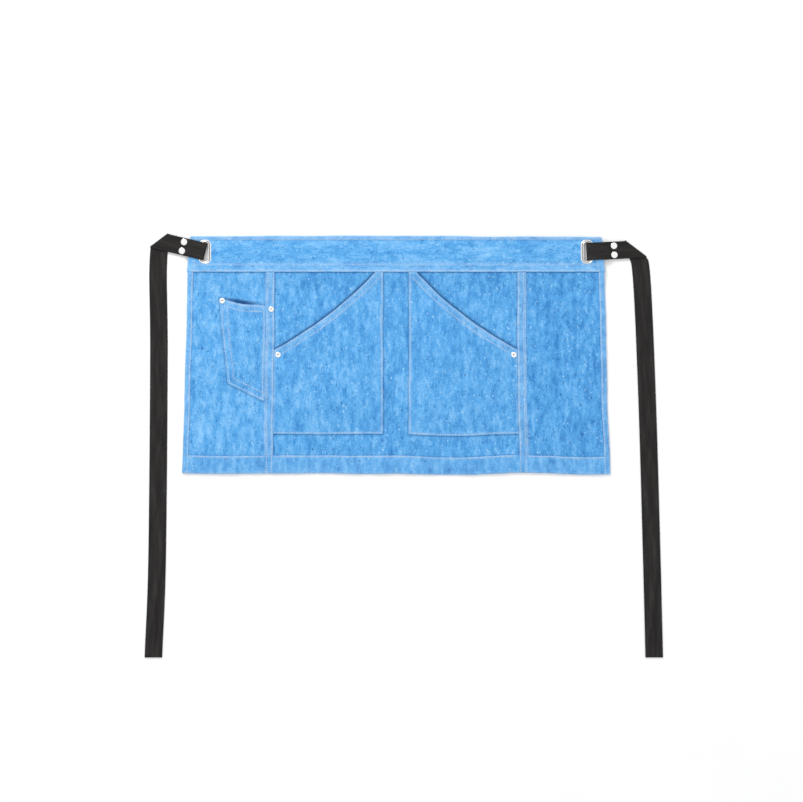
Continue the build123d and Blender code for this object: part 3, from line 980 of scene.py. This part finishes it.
def phone_outline(s, t):
    """From the phone pocket's slanting bottom edges up to its mouth."""
    places = [0, *phone_kinks, 1]
    low_x, low = (np.interp(s, places, values) for values in zip(*phone_low[::-1]))
    high_x, high = phone_mouth(s)
    return np.column_stack([low_x + (high_x - low_x) * t, low + (high - low) * t])


phone_sewn = [phone_top[1]] + phone_low + [phone_top[0]]


def phone_shape(points):
    """The phone pocket gapes in the middle of its mouth."""
    away = nearest(points, phone_sewn)[0]
    return phone_belly * smooth(away / 0.026)


def phone_wear(points):
    """Paler between the two rows beside the mouth."""
    away = nearest(points, phone_mouth_row(0.0060))[0]
    return 0.20 * smooth((0.0050 - away) / 0.0016), 0


phone_cover = Cover(2 * denim, rows_of["phone"], phone_shape)
cloth(
    "phone_pocket", phone_outline, (0.062, 0.142), phone_cover, step=0.0014,
    extra=phone_kinks, paint=phone_wear,
)
stitches(
    "phone_rows", rows_of["phone"], phone_cover, ["phone_pocket_stitching"],
    skip=[(*pocket_rivets[2], rivet_clear)],
)

panel_rows = {
    "hem_rows": (rows_of["hem"], "hem_stitching"),
    "side_hem_rows": (rows_of["left side"] + rows_of["right side"], "side_hem_stitching"),
    "seam_rows": (rows_of["left seam"] + rows_of["right seam"], "seam_stitching"),
}
for name, (rows, cad_node) in panel_rows.items():
    stitches(name, rows, doubled, [cad_node], skip=[(*pocket_rivets[3], 0.0056)])


# ---------------- metal

pocket_cap = [
    (0, 0), (0.0042, 0), (0.0042, 0.0005), (0.0040, 0.0009), (0.0036, 0.00118), (0.0030, 0.0013),
    (0.0020, 0.00126), (0.0016, 0.0011), (0.0012, 0.00092), (0.0006, 0.00088), (0, 0.00088),
]
strap_cap = [
    (0, 0), (0.00475, 0), (0.00475, 0.0006), (0.0046, 0.0010), (0.0042, 0.00122), (0.0037, 0.0013),
    (0.0020, 0.0013), (0, 0.0013),
]
# the pocket rivets' dimpled middles get painted shade
turned_metal(
    "pocket_rivet_tops", pocket_cap, [(x, y, 2 * denim) for x, y in pocket_rivets],
    ["pocket_rivet_caps"], painted_shade_to=0.0010,
)


def rounded_slot(size, count=10):
    """Points round an upright opening with rounded corners."""
    width, height, radius = size
    points = []
    for corner, (across, up) in enumerate(((1, 1), (-1, 1), (-1, -1), (1, -1))):
        for turn in np.linspace(corner * pi / 2, (corner + 1) * pi / 2, count):
            points.append((
                across * (width / 2 - radius) + radius * cos(turn),
                up * (height / 2 - radius) + radius * sin(turn),
            ))
    return np.array(points)


def eyelet_ring(side, name):
    """An eyelet's rolled rim, the groove inside it, its inner lip and the barrel through the waistband, with
    painted shade in the groove and down the barrel.
    """
    outer, inner, barrel = (rounded_slot(size) for size in (eyelet_flange, eyelet_inner, eyelet_barrel))
    centre = np.array([side * eyelet[0], eyelet[1]])
    # each step across the rim: how far from its outer to its inner edge, its height, and how much painted
    # shade it gets
    section = [
        (0.0, 0.0, 0), (0.0, 0.00022, 0), (0.04, 0.0005, 0), (0.12, 0.00072, 0), (0.22, 0.0008, 0),
        (0.34, 0.00072, 0), (0.42, 0.0005, 0.5), (0.50, 0.00034, 1), (0.60, 0.00034, 1), (0.66, 0.0005, 0.4),
        (0.74, 0.0007, 0), (0.86, 0.00074, 0), (0.96, 0.0006, 0), (1.0, 0.0003, 0.2),
        (1.0, washer_low - band_top, 0.4),
    ]
    loops = [(outer + (inner - outer) * place, band_top + up, dark) for place, up, dark in section]
    loops += [(barrel, washer_low, 0.4), (barrel, band_top, 0.4)]
    count = len(outer)
    verts, shade, faces = [], [], []
    for points, height, dark in loops:
        verts += [(*(centre + point), height) for point in points]
        shade += [dark] * count
    for ring in range(len(loops)):
        after = (ring + 1) % len(loops)
        for k in range(count):
            on = (k + 1) % count
            faces.append((ring * count + k, ring * count + on, after * count + on, after * count + k))
    return finish_mesh(
        f"{name}_eyelet_ring", verts, faces, "nickel", "apron", [f"{name}_eyelet"], {"shade": shade}
    )


for side, name in sides:
    eyelet_ring(side, name)


# ---------------- straps

def unit(way):
    return np.array(way) / hypot(*way)


def left_of(way):
    """The way a quarter turn to the left."""
    return np.array([-way[1], way[0]])


def rounded(points, radius, steps=7):
    """A path of straight runs with its corners turned on arcs."""
    path = [np.array(points[0], float)]
    for before, corner, after in zip(points, points[1:], points[2:]):
        before, corner, after = (np.array(p, float) for p in (before, corner, after))
        back, on = before - corner, after - corner
        reach = min(radius, 0.49 * np.linalg.norm(back), 0.49 * np.linalg.norm(on))
        first = corner + back / np.linalg.norm(back) * reach
        last = corner + on / np.linalg.norm(on) * reach
        for t in np.linspace(0, 1, steps):
            path.append((1 - t) ** 2 * first + 2 * t * (1 - t) * corner + t * t * last)
    path.append(np.array(points[-1], float))
    return np.array(path)


def along_curve(points, step=0.002):
    """A smooth curve through points, as places, directions and its length."""
    points = np.array(points, float)
    ends = np.vstack([2 * points[0] - points[1], points, 2 * points[-1] - points[-2]])
    dense = []
    for p, q, r, s in zip(ends, ends[1:], ends[2:], ends[3:]):
        for t in np.linspace(0, 1, 60, endpoint=False):
            dense.append(0.5 * (2 * q + (r - p) * t + (2 * p - 5 * q + 4 * r - s) * t * t
                                + (3 * q - p - 3 * r + s) * t ** 3))
    dense.append(points[-1])
    dense = np.array(dense)
    marks = marks_along(dense)

    def at(distance):
        inside = np.clip(distance, 0, marks[-1])
        direction = places_at(inside + step, marks, dense) - places_at(inside - step, marks, dense)
        direction /= np.linalg.norm(direction, axis=1)[:, None]
        return places_at(inside, marks, dense) + direction * (distance - inside)[:, None], direction
    return at, marks[-1]


half = strap_width / 2
edge = np.array([-half, -half + 0.0003, -half + 0.001])
across_places = np.concatenate([edge, np.linspace(-0.0105, 0.0105, 12), -edge[::-1]])
edge_thinning = np.array([0.45, 0.8, 1.0] + [1.0] * 12 + [1.0, 0.8, 0.45])


def strap_row(flat, height, normal):
    """A row across the strap: its points, and which way its face looks there."""
    return np.column_stack([flat, np.full(len(flat), height)]), np.tile(normal, (len(flat), 1))


def strap_piece(name, rows, replaced):
    """A closed length of webbing from rows of (points, normals), each running across the strap."""
    middle = np.array([row[0] for row in rows])
    normal = np.array([row[1] for row in rows])
    thickness = webbing / 2 * edge_thinning[None, :, None]
    upper, lower = middle + normal * thickness, middle - normal * thickness
    run = np.linalg.norm(np.diff(middle, axis=0), axis=2).mean(axis=1)
    travel = np.concatenate([[0], np.cumsum(run)])
    lay = np.zeros(middle.shape)
    lay[:, :, 0] = across_places[None, :]
    lay[:, :, 1] = travel[:, None]
    kept = np.ones((len(rows) - 1, len(across_places) - 1), bool)
    piece = closed_grid(
        name, upper, lower, kept, slot_name="webbing", body=None, replaced=replaced,
        attributes={"lay": lay.reshape(-1, 3)},
    )
    return piece, travel[-1]


def near_strap(name, tie, start, along, crease_at):
    """Through the eyelet, round the waistband's end, riveted, and on to the crease."""
    across = left_of(along)
    legs_meet = tie["rivet_u"] - strap_rivet_radius - 0.0006
    bend = legs_meet - 0.0029
    path = rounded([
        (tie["rivet_u"] + 0.006, riveted_leg_middle), (legs_meet, riveted_leg_middle),
        (bend, tail_middle), (0, tail_middle), (0, front_leg_middle), (bend, front_leg_middle),
        (legs_meet + 0.0004, lead_middle), (legs_meet + 0.004, lead_middle),
    ], strap_turn)
    rows = []
    for i, (u, z) in enumerate(path):
        run = path[min(i + 1, len(path) - 1)] - path[max(i - 1, 0)]
        run = run / np.linalg.norm(run)
        flat = start + along * u + across * across_places[:, None]
        rows.append(strap_row(flat, z, [*(-run[1] * along), run[0]]))
    crease, c = crease_at
    reach = np.linalg.norm(np.array(crease) - start)
    ends = reach + across_places * (c @ along) / (c @ across)
    first = path[-1][0]
    count = ceil((reach - first) / 0.0011)
    for t in np.linspace(0, 1, count + 1)[1:]:
        u = first + (ends - first) * t
        flat = start + along * u[:, None] + across * across_places[:, None]
        rows.append(strap_row(flat, lead_middle, [0.0, 0.0, 1.0]))
    piece, length = strap_piece(f"{name}_strap_near", rows, [f"{name}_strap_loop", f"{name}_strap_lead"])
    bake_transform(piece)
    return piece, length


def far_strap(name, tie, start, along, crease_at):
    """Folded flat under itself at the crease, then down beside the apron to its square-cut end."""
    across = left_of(along)
    crease, c = np.array(crease_at[0]), crease_at[1]
    down = unit(np.array(tie["route"][0]) - crease)
    outward = unit(along - down)
    radius = lead_middle - fold_axis
    on_crease = across_places / (c @ across)
    rows = []
    for turn in np.linspace(0, pi, 9):
        flat = crease + c * on_crease[:, None] + outward * radius * sin(turn)
        rows.append(strap_row(flat, fold_axis + radius * cos(turn), [*(outward * sin(turn)), cos(turn)]))
    at, length = along_curve([tie["crease"]] + tie["route"])
    first = on_crease * (c @ down)
    last_way = at(np.array([length]))[1][0]
    last = length + across_places * last_way[0] / last_way[1]
    count = ceil(length / 0.004)
    for t in np.linspace(0, 1, count + 1)[1:]:
        distance = first + (last - first) * t
        place, way = at(distance)
        flat = place - left_of(way.T).T * across_places[:, None]
        rows.append(strap_row(flat, tail_middle, [0.0, 0.0, -1.0]))
    piece, length = strap_piece(f"{name}_strap_far", rows, [f"{name}_strap_tail"])
    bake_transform(piece)
    return piece, length


strap_lengths = {}
for side, name in sides:
    tie = ties[name]
    start = np.array([side * eyelet[0], eyelet[1]])
    along = unit(np.array(tie["crease"]) - start)
    down = unit(np.array(tie["route"][0]) - np.array(tie["crease"]))
    crease_at = (tie["crease"], unit(along + down))
    for part, maker in (("near", near_strap), ("far", far_strap)):
        strap = f"{name}_strap_{part}"
        pieces[strap], strap_lengths[strap] = maker(name, tie, start, along, crease_at)
    rivet_middle = start + along * tie["rivet_u"]
    rivets = [rivet_middle + left_of(along) * v * strap_rivet_spacing / 2 for v in (-1, 1)]
    turned_metal(
        f"{name}_strap_rivet_tops", strap_cap, [(*place, strap_cap_low) for place in rivets],
        [f"{name}_strap_rivet_caps"],
    )


# ---------------- frame nodes that stay

metal_nodes = [f"{name}_{part}" for part in ("eyelet_washer", "strap_rivet_posts") for _, name in sides]
for name in metal_nodes + ["pocket_rivet_nails"]:
    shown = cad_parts[name]
    shown.data.materials.clear()
    shown.data.materials.append(materials["nickel"])


# ---------------- floor and light

floor_mesh = bpy.data.meshes.new("floor")
reach = 6.0
corners = [(-1, -1), (1, -1), (1, 1), (-1, 1)]
floor_mesh.from_pydata([(x * reach, y * reach, -0.0003) for x, y in corners], [], [(0, 1, 2, 3)])
floor_material, floor_tree, floor_shader = new_material("floor", Roughness=0.95, Specular_IOR_Level=0.0)
floor_grain = grain(floor_tree, object_space(floor_tree), 3.0)
floor_tone = ramp(floor_tree, floor_grain, [(0.3, srgb(249, 249, 249)), (0.7, srgb(252, 252, 252))])
floor_tree.links.new(floor_tone, floor_shader.inputs["Base Color"])
floor_mesh.materials.append(floor_material)
floor = put_in_scene("floor", floor_mesh)

world = bpy.data.worlds.new("world")
world.use_nodes = True
sky = world.node_tree
direction = node(sky, "ShaderNodeTexCoord").outputs["Generated"]
height = node(sky, "ShaderNodeSeparateXYZ", {0: direction}).outputs[2]
glow = ramp(sky, height, [(0.0, (0.74, 0.75, 0.77, 1.0)), (0.85, (1.0, 1.0, 1.0, 1.0))])
sky.links.new(glow, sky.nodes["Background"].inputs["Color"])
sky.nodes["Background"].inputs["Strength"].default_value = 0.96
bpy.context.scene.world = world
bpy.context.scene.view_settings.view_transform = "Standard"

key = put_in_scene("key", bpy.data.lights.new("key", "AREA"))
key.data.size = 0.9
key.data.energy = 30.0
key.location = (-0.9, 1.9, 1.5)
key.rotation_euler = (Vector((0, 0, 0)) - key.location).to_track_quat("-Z", "Y").to_euler()

bpy.context.view_layer.update()
